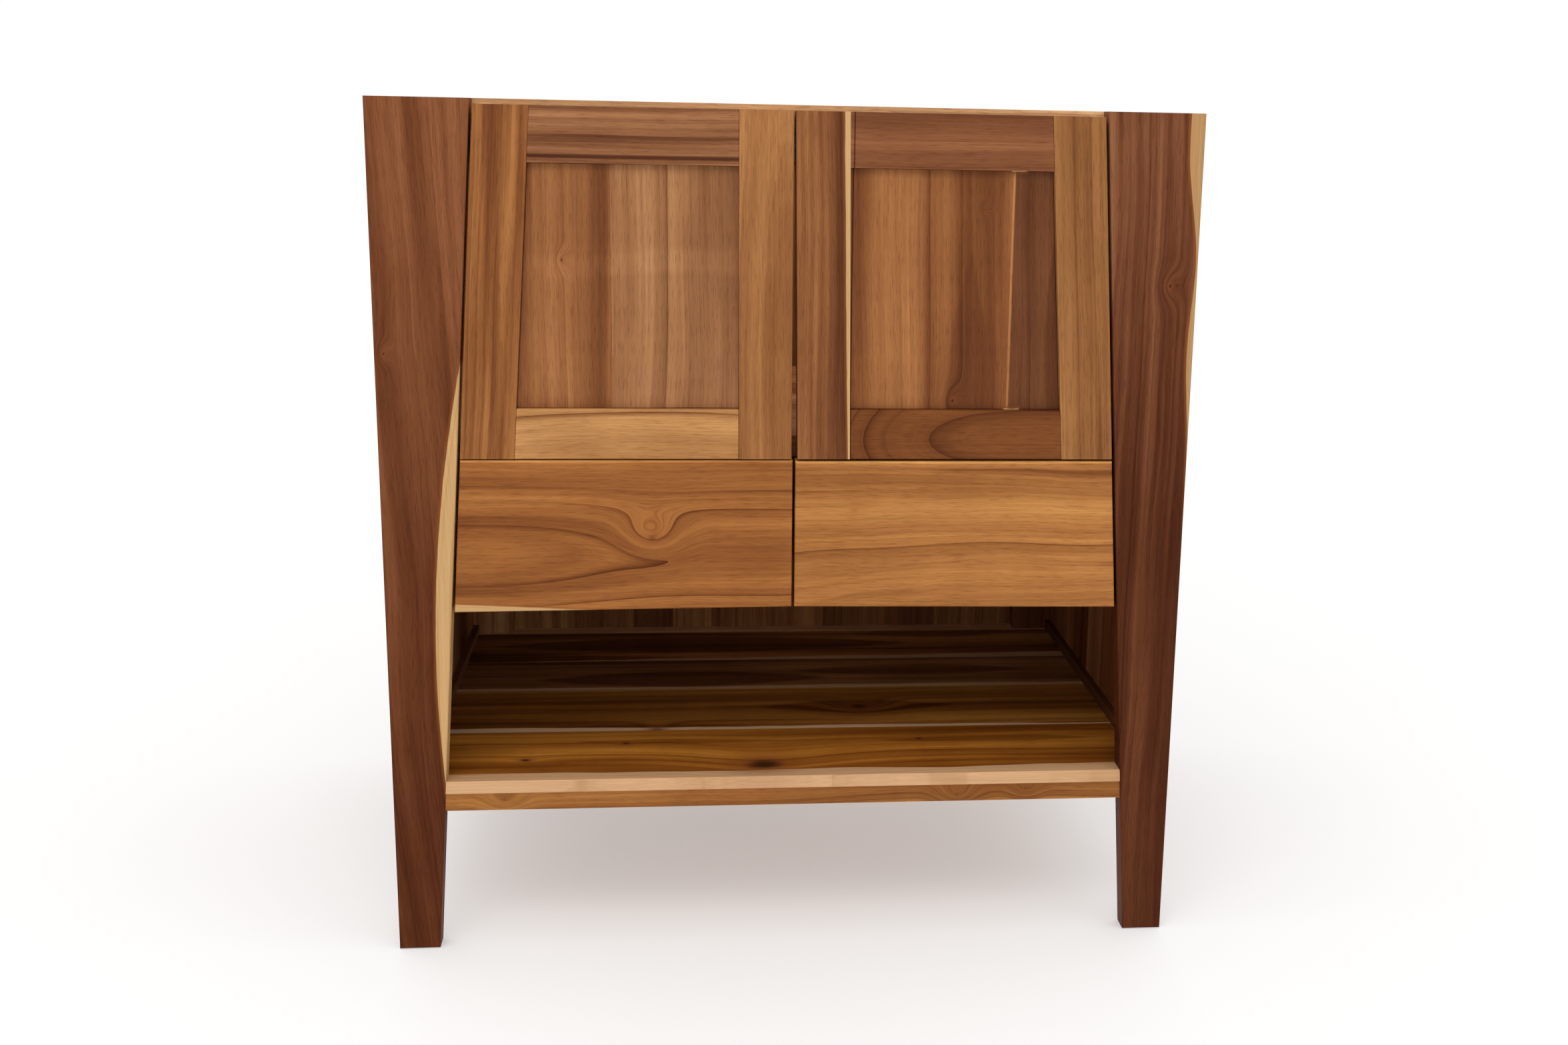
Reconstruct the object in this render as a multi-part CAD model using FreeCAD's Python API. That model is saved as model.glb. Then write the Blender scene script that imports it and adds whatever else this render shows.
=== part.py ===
"""Free-standing teak vanity base: two framed doors over two drawers over an open plank shelf.

Millimetres. The origin is the centre of the footprint on the floor, the front faces -Y and +Z is up.
Depths below are measured back from the front face, and y_at() turns them into Y.
"""
import FreeCAD
import Part
import math
import os

Vector = FreeCAD.Vector

# Overall size
WIDTH = 762.0
DEPTH = 559.0
HEIGHT = 813.0

# Legs: boards that are wide at the top and narrow at the floor
LEG_TOP = 92.0
FRONT_LEG_FOOT = 39.0
REAR_LEG_FOOT = 60.0
FRONT_LEG_THICK = 22.0
REAR_LEG_THICK = 34.0
REAR_FRONT = DEPTH - REAR_LEG_THICK

# Frame of the sides and the back
TOP_RAIL_HEIGHT = 50.0
TOP_RAIL_THICK = 20.0
SIDE_TOP_THICK = 22.0
SIDE_LOW_THICK = 26.0
SIDE_LOW_BOTTOM = 143.0
SIDE_LOW_TOP = 183.0
PLANK_THICK = 12.0
PLANK_SETBACK = 7.0
PLANK_HOUSING = 8.0
SIDE_PLANK_COUNT = 7
BACK_PLANK_THICK = 10.0
BACK_PLANK_SETBACK = 2.0
BACK_PLANK_HALF_SPAN = 324.0
BACK_PLANK_SEAMS = [-240.0, -166.0, -117.0, -69.0, 0.0, 72.0, 140.0, 215.0, 268.0]
PLANK_VEE = 1.2

# Open shelf
SHELF_TOP = 172.0
SHELF_THICK = 13.0
SHELF_SETBACK = 1.0
SHELF_SEAMS = [145.0, 286.0, 400.0, 520.0]
APRON_BOTTOM = 142.0
APRON_SETBACK = 2.0
CLEAT_SIZE = 20.0

# Cabinet floor, above the drawers
FLOOR_TOP = 507.0
FLOOR_THICK = 12.0
FLOOR_RAIL_HEIGHT = 20.0
FLOOR_SEAMS = [140.0, 220.0, 296.0, 375.0, 452.0]

# Doors
DOOR_TOP = 808.0
DOOR_BOTTOM = 488.0
DOOR_THICK = 20.0
DOOR_SETBACK = 0.5
SIDE_GAP = 2.6
LEFT_DOOR_LOCK_X = -0.7
RIGHT_DOOR_LOCK_TOP_X = 1.1
RIGHT_DOOR_LOCK_BOTTOM_X = 5.0
STILE_WIDTH = 49.5
DOOR_TOP_RAIL = 50.0
DOOR_BOTTOM_RAIL = 47.0
PANEL_SETBACK = 7.0
PANEL_THICK = 8.0
PANEL_HOUSING = 7.0
LEFT_PANEL_SEAM_X = -167.0
RIGHT_PANEL_SEAM_X = 205.5

# Door pivots: a pin in each end of the hinge stile, on an axis parallel to the leg's sloped edge
PIVOT_INSET = 9.0
PIVOT_DEPTH = 6.5
PIN_RADIUS = 2.0
PIN_REACH = 12.0
PIN_CLEARANCE = 0.05
BUSH_RADIUS = 3.5
BUSH_LENGTH = 10.0
LEAF_THICK = 2.0
LEAF_LIFT = 0.4
LEAF_HALF = 3.8
NOTCH_DEPTH = 3.2
NOTCH_MARGIN = 1.2
SWING_RADIUS = 14.2
FLANGE_WIDTH = 32.0
TOP_FLANGE_HEIGHT = 26.0
LOW_FLANGE_HEIGHT = 17.5
SCREW_HEAD_RADIUS = 3.2
SCREW_SHANK_RADIUS = 1.5
SCREW_LENGTH = 14.0
SCREW_ALONG = [4.0, 20.0]
SCREW_SLOT_WIDTH = 0.9
SCREW_SLOT_DEPTH = 0.9

# Drawers
DRAWER_TOP = 486.8
DRAWER_BOTTOM = 341.0
DRAWER_BOTTOM_RISE = 3.0
DRAWER_FRONT_THICK = 20.0
LEFT_DRAWER_EDGE_X = 0.5
RIGHT_DRAWER_EDGE_X = 3.0
RIGHT_DRAWER_DROP = 0.9
BOX_OUTER_X = 300.0
BOX_BOTTOM = 365.0
BOX_TOP = 465.0
BOX_SIDE_THICK = 12.0
BOX_LENGTH = 450.0
BOX_PANEL_THICK = 6.0
BOX_PANEL_LIFT = 8.0
BOX_GROOVE = 5.0

# Telescopic slides, one each side of each drawer
SLIDE_Z = 415.0
SLIDE_WIDTH = 12.7
SLIDE_LENGTH = 450.0
SLIDE_FRONT = 24.0
SLIDE_SHEET = 1.4
SLIDE_HALF_HEIGHTS = {"outer": 22.5, "middle": 18.5, "inner": 13.5}
SLIDE_WEBS = {"outer": 0.0, "middle": 3.0, "inner": SLIDE_WIDTH - SLIDE_SHEET}
SLIDE_LIPS = {"outer": 9.5, "middle": 10.5, "inner": 6.0}
SLIDE_RAIL_THICK = 22.0
SLIDE_RAIL_HEIGHT = 60.0
DIVIDER_THICK = 20.0
DIVIDER_BOTTOM = 385.0

# Corner blocks that take the screws of a vanity top, and the holes for fixing to a wall
BLOCK_LEG = 70.0
BLOCK_THICK = 22.0
BLOCK_HOLE_INSET = 24.0
FIXING_RADIUS = 3.0
WALL_HOLE_X = 200.0
WALL_HOLE_Z = 788.0

# Eased edges
ARRIS = 1.2
LEG_ARRIS = 1.6
FRONT_ARRIS = 1.8

HALF = WIDTH / 2
FRONT_SLOPE = (LEG_TOP - FRONT_LEG_FOOT) / HEIGHT
REAR_SLOPE = (LEG_TOP - REAR_LEG_FOOT) / HEIGHT
TILT = math.degrees(math.atan(FRONT_SLOPE))
SIDE_INNER = HALF - PLANK_SETBACK - PLANK_THICK
TOP_RAIL_BOTTOM = HEIGHT - TOP_RAIL_HEIGHT
FLOOR_BOTTOM = FLOOR_TOP - FLOOR_THICK
SHELF_BOTTOM = SHELF_TOP - SHELF_THICK
BACK_PLANK_FRONT = DEPTH - BACK_PLANK_SETBACK - BACK_PLANK_THICK


def y_at(depth):
    """Y of a place this far back from the front face."""
    return depth - DEPTH / 2


def block(x0, x1, depth0, depth1, z0, z1):
    """A rectangular solid between two X, two depths and two heights."""
    return Part.makeBox(x1 - x0, depth1 - depth0, z1 - z0, Vector(x0, y_at(depth0), z0))


def slab(outline, depth0, depth1):
    """A board of constant thickness, from its outline as seen from the front."""
    corners = [Vector(x, y_at(depth0), z) for x, z in outline]
    face = Part.Face(Part.makePolygon(corners + corners[:1]))
    return face.extrude(Vector(0, depth1 - depth0, 0))


def rod(x, depth, z, radius, length, direction):
    """A round bar that starts at a point and runs along a direction."""
    return Part.makeCylinder(radius, length, Vector(x, y_at(depth), z), direction)


def mirrored(shape):
    """The same piece on the other side of the cabinet."""
    return shape.mirror(Vector(0, 0, 0), Vector(1, 0, 0))


def group(shapes):
    """Separate solids kept as one node."""
    return Part.makeCompound(shapes)


def leg_edge(z):
    """Distance of the front legs' inner edge from the centre line, at a height."""
    return HALF - FRONT_LEG_FOOT - FRONT_SLOPE * z


def rear_leg_edge(z):
    """Distance of the rear legs' inner edge from the centre line, at a height."""
    return HALF - REAR_LEG_FOOT - REAR_SLOPE * z


def ease(shape, radius, wanted):
    """Round the straight edges that a test of both end points picks out."""
    edges = []
    for edge in shape.Edges:
        ends = [vertex.Point for vertex in edge.Vertexes]
        if len(ends) == 2 and edge.Length > 4 * radius and wanted(ends[0], ends[1]):
            edges.append(edge)
    return shape.makeFillet(radius, edges) if edges else shape


def on_front(depth):
    """Test for an edge that lies in the front face at a depth."""
    def wanted(a, b):
        return abs(a.y - y_at(depth)) < 0.01 and abs(b.y - y_at(depth)) < 0.01
    return wanted


def upright_at(depth, x_side):
    """Test for a front edge that runs up the board on one side of an X."""
    def wanted(a, b):
        in_face = on_front(depth)(a, b)
        return in_face and abs(a.z - b.z) > 1 and x_side(min(a.x, b.x), max(a.x, b.x))
    return wanted


def cut_all(shape, tools):
    """Cut every tool out of a shape."""
    for tool in tools:
        shape = shape.cut(tool)
    return shape


# Legs

def front_leg():
    """Left front leg, with its front arrises and its foot eased."""
    outline = [(-HALF, 0), (-leg_edge(0), 0), (-leg_edge(HEIGHT), HEIGHT), (-HALF, HEIGHT)]
    board = slab(outline, 0, FRONT_LEG_THICK)
    return ease(board, LEG_ARRIS, lambda a, b: on_front(0)(a, b) and max(a.z, b.z) < HEIGHT + 1
                and not (a.z > HEIGHT - 1 and b.z > HEIGHT - 1))


def rear_leg(planks_space):
    """Left rear leg, rebated for the planks of the back."""
    outline = [(-HALF, 0), (-rear_leg_edge(0), 0), (-rear_leg_edge(HEIGHT), HEIGHT), (-HALF, HEIGHT)]
    board = slab(outline, REAR_FRONT, DEPTH)
    return board.cut(planks_space)


# Sides and back

def side_planks():
    """Upright planks of the left side, housed in its top and bottom rails."""
    pitch = (REAR_FRONT - FRONT_LEG_THICK) / SIDE_PLANK_COUNT
    planks = []
    for number in range(SIDE_PLANK_COUNT):
        start = FRONT_LEG_THICK + number * pitch
        plank = block(-HALF + PLANK_SETBACK, -SIDE_INNER, start, start + pitch,
                      SIDE_LOW_TOP - PLANK_HOUSING, TOP_RAIL_BOTTOM + PLANK_HOUSING)
        vees = [edge for edge in plank.Edges
                if abs(edge.Vertexes[0].Point.z - edge.Vertexes[1].Point.z) > 1
                and edge.Vertexes[0].Point.x < -HALF + PLANK_SETBACK + 1]
        planks.append(plank.makeChamfer(PLANK_VEE, vees))
    return planks


def back_planks():
    """Upright planks of the back, of mixed widths."""
    sides = [-BACK_PLANK_HALF_SPAN] + BACK_PLANK_SEAMS + [BACK_PLANK_HALF_SPAN]
    planks = []
    for left, right in zip(sides, sides[1:]):
        plank = block(left, right, BACK_PLANK_FRONT, BACK_PLANK_FRONT + BACK_PLANK_THICK,
                      SHELF_BOTTOM - PLANK_HOUSING, TOP_RAIL_BOTTOM + PLANK_HOUSING)
        vees = [edge for edge in plank.Edges
                if abs(edge.Vertexes[0].Point.z - edge.Vertexes[1].Point.z) > 1
                and edge.Vertexes[0].Point.y > y_at(DEPTH - BACK_PLANK_SETBACK) - 1]
        planks.append(plank.makeChamfer(PLANK_VEE, vees))
    return planks


def side_housing():
    """Room for the left side's planks in its rails."""
    return block(-HALF + PLANK_SETBACK, -SIDE_INNER, FRONT_LEG_THICK, REAR_FRONT,
                 SIDE_LOW_TOP - PLANK_HOUSING, TOP_RAIL_BOTTOM + PLANK_HOUSING)


def back_housing():
    """Room for the back's planks in the rear legs and rails."""
    return block(-BACK_PLANK_HALF_SPAN, BACK_PLANK_HALF_SPAN, BACK_PLANK_FRONT,
                 DEPTH + 1, SHELF_BOTTOM - PLANK_HOUSING, TOP_RAIL_BOTTOM + PLANK_HOUSING)


# Shelf and floor

def shelf_boards(legs):
    """Boards of the open shelf, front to back, notched round the legs."""
    lines = [SHELF_SETBACK] + SHELF_SEAMS + [BACK_PLANK_FRONT]
    reach = HALF - SIDE_LOW_THICK
    boards = []
    for start, end in zip(lines, lines[1:]):
        board = block(-reach, reach, start, end, SHELF_BOTTOM, SHELF_TOP)
        boards.append(cut_all(board, legs))
    front = boards[0]
    boards[0] = ease(front, ARRIS, lambda a, b: on_front(SHELF_SETBACK)(a, b) and abs(a.x - b.x) > 1)
    return boards


def floor_boards():
    """Boards of the cabinet floor between the front rail and the rear legs."""
    lines = [FRONT_LEG_THICK + TOP_RAIL_THICK] + FLOOR_SEAMS + [REAR_FRONT]
    return [block(-SIDE_INNER, SIDE_INNER, start, end, FLOOR_BOTTOM, FLOOR_TOP)
            for start, end in zip(lines, lines[1:])]


def corner_block(x_sign, front):
    """Triangular block glued in a top corner, with a hole for a screw up into the vanity top."""
    corner_x = x_sign * (HALF - SIDE_TOP_THICK)
    corner = FRONT_LEG_THICK + TOP_RAIL_THICK if front else REAR_FRONT
    inward = 1 if front else -1
    points = [(corner_x, corner), (corner_x - x_sign * BLOCK_LEG, corner),
              (corner_x, corner + inward * BLOCK_LEG)]
    base = [Vector(x, y_at(depth), HEIGHT - BLOCK_THICK) for x, depth in points]
    solid = Part.Face(Part.makePolygon(base + base[:1])).extrude(Vector(0, 0, BLOCK_THICK))
    hole = rod(corner_x - x_sign * BLOCK_HOLE_INSET, corner + inward * BLOCK_HOLE_INSET,
               HEIGHT - BLOCK_THICK - 1, FIXING_RADIUS, BLOCK_THICK + 2, Vector(0, 0, 1))
    return solid.cut(hole)


# Pivots, made upright at the origin for the left door and then stood on the sloped axis

def on_axis(shape, z):
    """Stand a piece made round the Z axis on the left door's pivot axis, at a height."""
    x = -leg_edge(z) + SIDE_GAP + PIVOT_INSET
    place = FreeCAD.Placement(Vector(x, y_at(DOOR_SETBACK + PIVOT_DEPTH), z),
                              FreeCAD.Rotation(Vector(0, 1, 0), TILT))
    placed = shape.copy()
    placed.Placement = place.multiply(shape.Placement)
    return placed


def leaf_and_flange(up):
    """Steel angle: a leaf that holds the pin over the door's end and a flange let into the rail."""
    rail_face = FRONT_LEG_THICK - DOOR_SETBACK - PIVOT_DEPTH
    height = LOW_FLANGE_HEIGHT if up else TOP_FLANGE_HEIGHT
    tip = Part.makeCylinder(LEAF_HALF, LEAF_THICK)
    arm = Part.makeBox(2 * LEAF_HALF, rail_face + LEAF_THICK, LEAF_THICK, Vector(-LEAF_HALF, 0, 0))
    flange = Part.makeBox(FLANGE_WIDTH, LEAF_THICK, height,
                          Vector(-LEAF_HALF, rail_face, 0 if up else LEAF_THICK - height))
    angle = tip.fuse(arm).fuse(flange).removeSplitter()
    angle = angle.cut(Part.makeCylinder(PIN_RADIUS, 2 * LEAF_THICK, Vector(0, 0, -LEAF_THICK / 2)))
    angle.translate(Vector(0, 0, LEAF_LIFT if up else -LEAF_LIFT - LEAF_THICK))
    return angle


def flange_screws(up):
    """Two countersunk screws through a flange into its rail."""
    rail_face = FRONT_LEG_THICK - DOOR_SETBACK - PIVOT_DEPTH
    height = LOW_FLANGE_HEIGHT if up else TOP_FLANGE_HEIGHT
    z = (LEAF_THICK + height) / 2 * (1 if up else -1)
    screws = []
    for x in SCREW_ALONG:
        start = Vector(x, rail_face, z)
        head = Part.makeCone(SCREW_HEAD_RADIUS, SCREW_SHANK_RADIUS, LEAF_THICK, start, Vector(0, 1, 0))
        shank = Part.makeCylinder(SCREW_SHANK_RADIUS, SCREW_LENGTH, start, Vector(0, 1, 0))
        slot = Part.makeBox(2 * SCREW_HEAD_RADIUS, 2 * SCREW_SLOT_DEPTH, SCREW_SLOT_WIDTH,
                            Vector(x - SCREW_HEAD_RADIUS, rail_face - SCREW_SLOT_DEPTH,
                                   z - SCREW_SLOT_WIDTH / 2))
        screws.append(head.fuse(shank).removeSplitter().cut(slot))
    return screws


def pivot_pin(up):
    """Steel pin riveted in a leaf and reaching into the door's bush."""
    start = LEAF_LIFT if up else -LEAF_LIFT - PIN_REACH
    return Part.makeCylinder(PIN_RADIUS, PIN_REACH, Vector(0, 0, start))


def pivot_bush(up, radius, bore):
    """Brass bush in the end of the hinge stile."""
    start = NOTCH_DEPTH if up else -NOTCH_DEPTH - BUSH_LENGTH
    bush = Part.makeCylinder(radius, BUSH_LENGTH, Vector(0, 0, start))
    return bush.cut(Part.makeCylinder(bore, BUSH_LENGTH, Vector(0, 0, start))) if bore else bush


def stile_notch():
    """Room for the leaf in the stile's end while the door swings round it."""
    height = 2 * NOTCH_DEPTH
    reach = LEAF_HALF + NOTCH_MARGIN
    beyond = 2 * DOOR_THICK
    round_part = Part.makeCylinder(reach, height, Vector(0, 0, -NOTCH_DEPTH))
    back_part = Part.makeBox(beyond + reach, beyond, height, Vector(-beyond, 0, -NOTCH_DEPTH))
    side_part = Part.makeBox(beyond, beyond + reach, height, Vector(-beyond, -reach, -NOTCH_DEPTH))
    return round_part.fuse(back_part).fuse(side_part)


def swing_relief():
    """The back corner of the hinge stile that would strike the rails as the door opens."""
    length = DOOR_TOP - DOOR_BOTTOM + 2 * DOOR_THICK
    corner = Part.makeBox(2 * DOOR_THICK, 2 * DOOR_THICK, length,
                          Vector(-2 * DOOR_THICK, PIN_RADIUS, -DOOR_THICK))
    return corner.cut(Part.makeCylinder(SWING_RADIUS, length, Vector(0, 0, -DOOR_THICK)))


def hinge_fittings():
    """Left door's two angles, pins and bushes, and its screws."""
    angles = [on_axis(leaf_and_flange(True), DOOR_BOTTOM), on_axis(leaf_and_flange(False), DOOR_TOP)]
    screws = [on_axis(screw, DOOR_BOTTOM) for screw in flange_screws(True)]
    screws += [on_axis(screw, DOOR_TOP) for screw in flange_screws(False)]
    pins = [on_axis(pivot_pin(True), DOOR_BOTTOM), on_axis(pivot_pin(False), DOOR_TOP)]
    bore = PIN_RADIUS + PIN_CLEARANCE
    bushes = [on_axis(pivot_bush(True, BUSH_RADIUS, bore), DOOR_BOTTOM),
              on_axis(pivot_bush(False, BUSH_RADIUS, bore), DOOR_TOP)]
    return {"angles": [cut_all(angle, screws) for angle in angles],
            "screws": screws, "pins": pins, "bushes": bushes}


# Doors

def door_pieces(lock_top_x, lock_bottom_x, seam_x):
    """A left-hand door: two stiles, two rails and a two-board panel, keyed by name."""
    front = DOOR_SETBACK
    back = DOOR_SETBACK + DOOR_THICK

    def hinge_x(z, inset=0.0):
        return -leg_edge(z) + SIDE_GAP + inset

    def lock_x(z, inset=0.0):
        share = (z - DOOR_BOTTOM) / (DOOR_TOP - DOOR_BOTTOM)
        return lock_bottom_x + (lock_top_x - lock_bottom_x) * share - inset

    def between(z0, z1, inset):
        return [(hinge_x(z0, inset), z0), (lock_x(z0, inset), z0),
                (lock_x(z1, inset), z1), (hinge_x(z1, inset), z1)]

    low = DOOR_BOTTOM + DOOR_BOTTOM_RAIL
    high = DOOR_TOP - DOOR_TOP_RAIL
    panel_depth = front + PANEL_SETBACK
    panel = slab(between(low - PANEL_HOUSING, high + PANEL_HOUSING, STILE_WIDTH - PANEL_HOUSING),
                 panel_depth, panel_depth + PANEL_THICK)
    bottom, top = DOOR_BOTTOM, DOOR_TOP
    hinge_stile = slab([(hinge_x(bottom), bottom), (hinge_x(bottom, STILE_WIDTH), bottom),
                        (hinge_x(top, STILE_WIDTH), top), (hinge_x(top), top)], front, back)
    lock_stile = slab([(lock_x(bottom, STILE_WIDTH), bottom), (lock_x(bottom), bottom),
                       (lock_x(top), top), (lock_x(top, STILE_WIDTH), top)], front, back)
    top_rail = slab(between(high, top, STILE_WIDTH), front, back)
    bottom_rail = slab(between(bottom, low, STILE_WIDTH), front, back)

    hinge_stile = ease(hinge_stile, ARRIS, upright_at(front, lambda a, b: a < hinge_x(top) + 1))
    lock_edge = upright_at(front, lambda a, b: b > min(lock_x(bottom), lock_x(top)) - 1)
    lock_stile = ease(lock_stile, ARRIS, lock_edge)
    top_rail = ease(top_rail, ARRIS, lambda a, b: on_front(front)(a, b) and min(a.z, b.z) > top - 1)
    bottom_rail = ease(bottom_rail, ARRIS,
                       lambda a, b: on_front(front)(a, b) and max(a.z, b.z) < bottom + 1)

    relief = [on_axis(swing_relief(), DOOR_BOTTOM),
              on_axis(stile_notch(), DOOR_BOTTOM), on_axis(stile_notch(), DOOR_TOP),
              on_axis(pivot_bush(True, BUSH_RADIUS, 0), DOOR_BOTTOM),
              on_axis(pivot_bush(False, BUSH_RADIUS, 0), DOOR_TOP)]
    hinge_stile = cut_all(hinge_stile, relief + [panel])
    far = 2 * WIDTH
    left_half = block(-far, seam_x, 0, DEPTH, 0, HEIGHT)
    right_half = block(seam_x, far, 0, DEPTH, 0, HEIGHT)
    return {"hinge_stile": hinge_stile, "lock_stile": lock_stile.cut(panel),
            "top_rail": top_rail.cut(panel), "bottom_rail": bottom_rail.cut(panel),
            "panel_boards": group([panel.common(left_half), panel.common(right_half)])}


# Drawers

def drawer_front(edge_x, drop):
    """A left-hand drawer front that follows the leg's slope, with its bottom rising to the centre."""
    top = DRAWER_TOP - drop
    outline = [(-leg_edge(DRAWER_BOTTOM) + SIDE_GAP, DRAWER_BOTTOM),
               (edge_x, DRAWER_BOTTOM + DRAWER_BOTTOM_RISE),
               (edge_x, top), (-leg_edge(top) + SIDE_GAP, top)]
    front = slab(outline, DOOR_SETBACK, DOOR_SETBACK + DRAWER_FRONT_THICK)
    return ease(front, FRONT_ARRIS, on_front(DOOR_SETBACK))


def drawer_box():
    """Left-hand drawer box: two sides, a back and a bottom housed in grooves."""
    outer = -BOX_OUTER_X
    inner = -DIVIDER_THICK / 2 - SLIDE_WIDTH
    start = DOOR_SETBACK + DRAWER_FRONT_THICK
    end = start + BOX_LENGTH
    floor_z = BOX_BOTTOM + BOX_PANEL_LIFT
    bottom = block(outer + BOX_SIDE_THICK - BOX_GROOVE, inner - BOX_SIDE_THICK + BOX_GROOVE, start,
                   end - BOX_SIDE_THICK + BOX_GROOVE, floor_z, floor_z + BOX_PANEL_THICK)
    sides = [block(outer, outer + BOX_SIDE_THICK, start, end, BOX_BOTTOM, BOX_TOP),
             block(inner - BOX_SIDE_THICK, inner, start, end, BOX_BOTTOM, BOX_TOP)]
    back = block(outer + BOX_SIDE_THICK, inner - BOX_SIDE_THICK, end - BOX_SIDE_THICK, end,
                 BOX_BOTTOM, BOX_TOP)
    housed_sides = group([side.cut(bottom) for side in sides])
    return {"sides": housed_sides, "back": back.cut(bottom), "bottom": bottom}


def channel(wall_x, toward, member):
    """A folded slide member whose web stands off a wall face and opens toward the other side."""
    half = SLIDE_HALF_HEIGHTS[member]
    web = SLIDE_WEBS[member]
    lip = SLIDE_LIPS[member]
    near = min(web, lip)
    far = max(web + SLIDE_SHEET, lip)
    front = SLIDE_FRONT
    back = SLIDE_FRONT + SLIDE_LENGTH

    def across(a, b):
        ends = sorted((wall_x + toward * a, wall_x + toward * b))
        return ends[0], ends[1]

    whole_x = across(near, far)
    web_x = across(web, web + SLIDE_SHEET)
    plates = [block(web_x[0], web_x[1], front, back, SLIDE_Z - half, SLIDE_Z + half),
              block(whole_x[0], whole_x[1], front, back, SLIDE_Z - half, SLIDE_Z - half + SLIDE_SHEET),
              block(whole_x[0], whole_x[1], front, back, SLIDE_Z + half - SLIDE_SHEET, SLIDE_Z + half)]
    return plates[0].fuse(plates[1]).fuse(plates[2]).removeSplitter()


def slide_members(member):
    """The outer-side and divider-side members of a left-hand drawer's slides."""
    return group([channel(-BOX_OUTER_X - SLIDE_WIDTH, 1, member), channel(-DIVIDER_THICK / 2, -1, member)])


def build():
    """Every node of the cabinet, by name."""
    nodes = {}
    leg = front_leg()
    housing = back_housing()
    rear = rear_leg(housing)
    legs = [leg, mirrored(leg), rear, mirrored(rear)]
    for name, shape in zip(("left_front_leg", "right_front_leg", "left_rear_leg", "right_rear_leg"), legs):
        nodes[name] = shape

    side_top = block(-HALF, -HALF + SIDE_TOP_THICK, FRONT_LEG_THICK, REAR_FRONT, TOP_RAIL_BOTTOM, HEIGHT)
    side_low = block(-HALF, -HALF + SIDE_LOW_THICK, FRONT_LEG_THICK, REAR_FRONT,
                     SIDE_LOW_BOTTOM, SIDE_LOW_TOP)
    side_parts = {"side_top_rail": side_top.cut(side_housing()),
                  "side_bottom_rail": side_low.cut(side_housing()),
                  "side_planks": group(side_planks())}
    rail_x = -BOX_OUTER_X - SLIDE_WIDTH
    side_parts["slide_rail"] = block(rail_x - SLIDE_RAIL_THICK, rail_x, FRONT_LEG_THICK, REAR_FRONT,
                                     SLIDE_Z - SLIDE_RAIL_HEIGHT / 2, SLIDE_Z + SLIDE_RAIL_HEIGHT / 2)
    for name, shape in side_parts.items():
        nodes["left_" + name] = shape
        nodes["right_" + name] = mirrored(shape)

    top_reach = HALF - SIDE_TOP_THICK
    fittings = hinge_fittings()
    all_angles = fittings["angles"] + [mirrored(angle) for angle in fittings["angles"]]
    all_screws = fittings["screws"] + [mirrored(screw) for screw in fittings["screws"]]
    let_in = all_angles + all_screws
    top_rail = block(-top_reach, top_reach, FRONT_LEG_THICK, FRONT_LEG_THICK + TOP_RAIL_THICK,
                     TOP_RAIL_BOTTOM, HEIGHT)
    floor_rail = block(-SIDE_INNER, SIDE_INNER, FRONT_LEG_THICK, FRONT_LEG_THICK + TOP_RAIL_THICK,
                       FLOOR_TOP - FLOOR_RAIL_HEIGHT, FLOOR_TOP)
    nodes["front_top_rail"] = cut_all(top_rail, let_in)
    nodes["floor_front_rail"] = cut_all(floor_rail, let_in)
    nodes["left_pivot_brackets"] = group(fittings["angles"])
    nodes["right_pivot_brackets"] = mirrored(group(fittings["angles"]))
    nodes["pivot_pins"] = group(fittings["pins"] + [mirrored(pin) for pin in fittings["pins"]])
    nodes["bracket_screws"] = group(all_screws)

    rear_rail = block(-top_reach, top_reach, REAR_FRONT, DEPTH, TOP_RAIL_BOTTOM, HEIGHT)
    wall_holes = [rod(x, REAR_FRONT - 1, WALL_HOLE_Z, FIXING_RADIUS, REAR_LEG_THICK + 2, Vector(0, 1, 0))
                  for x in (-WALL_HOLE_X, WALL_HOLE_X)]
    low_rail = block(-top_reach, top_reach, REAR_FRONT, DEPTH, SIDE_LOW_BOTTOM, SHELF_BOTTOM)
    nodes["rear_top_rail"] = cut_all(rear_rail, legs[2:] + wall_holes + [housing])
    nodes["back_bottom_rail"] = cut_all(low_rail, legs[2:] + [housing])
    nodes["back_planks"] = group(back_planks())

    for number, board in enumerate(shelf_boards(legs), 1):
        nodes["shelf_board_%d" % number] = board
    apron = block(-leg_edge(0), leg_edge(0), APRON_SETBACK, FRONT_LEG_THICK, APRON_BOTTOM, SHELF_BOTTOM)
    nodes["shelf_apron"] = cut_all(apron, legs[:2])
    cleat_x = HALF - SIDE_LOW_THICK
    shelf_cleat = block(-cleat_x, -cleat_x + CLEAT_SIZE, FRONT_LEG_THICK, REAR_FRONT,
                        SIDE_LOW_BOTTOM, SHELF_BOTTOM)
    nodes["shelf_cleats"] = group([shelf_cleat, mirrored(shelf_cleat)])

    nodes["floor_boards"] = group(floor_boards())
    floor_cleat = block(-SIDE_INNER, -SIDE_INNER + CLEAT_SIZE, FRONT_LEG_THICK, REAR_FRONT,
                        FLOOR_BOTTOM - CLEAT_SIZE, FLOOR_BOTTOM)
    floor_cleat = floor_cleat.cut(floor_rail)
    nodes["floor_cleats"] = group([floor_cleat, mirrored(floor_cleat)])
    nodes["drawer_divider"] = block(-DIVIDER_THICK / 2, DIVIDER_THICK / 2, FRONT_LEG_THICK + TOP_RAIL_THICK,
                                    REAR_FRONT, DIVIDER_BOTTOM, FLOOR_BOTTOM)
    nodes["corner_blocks"] = group([corner_block(x_sign, front)
                                    for x_sign in (-1, 1) for front in (True, False)])

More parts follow.
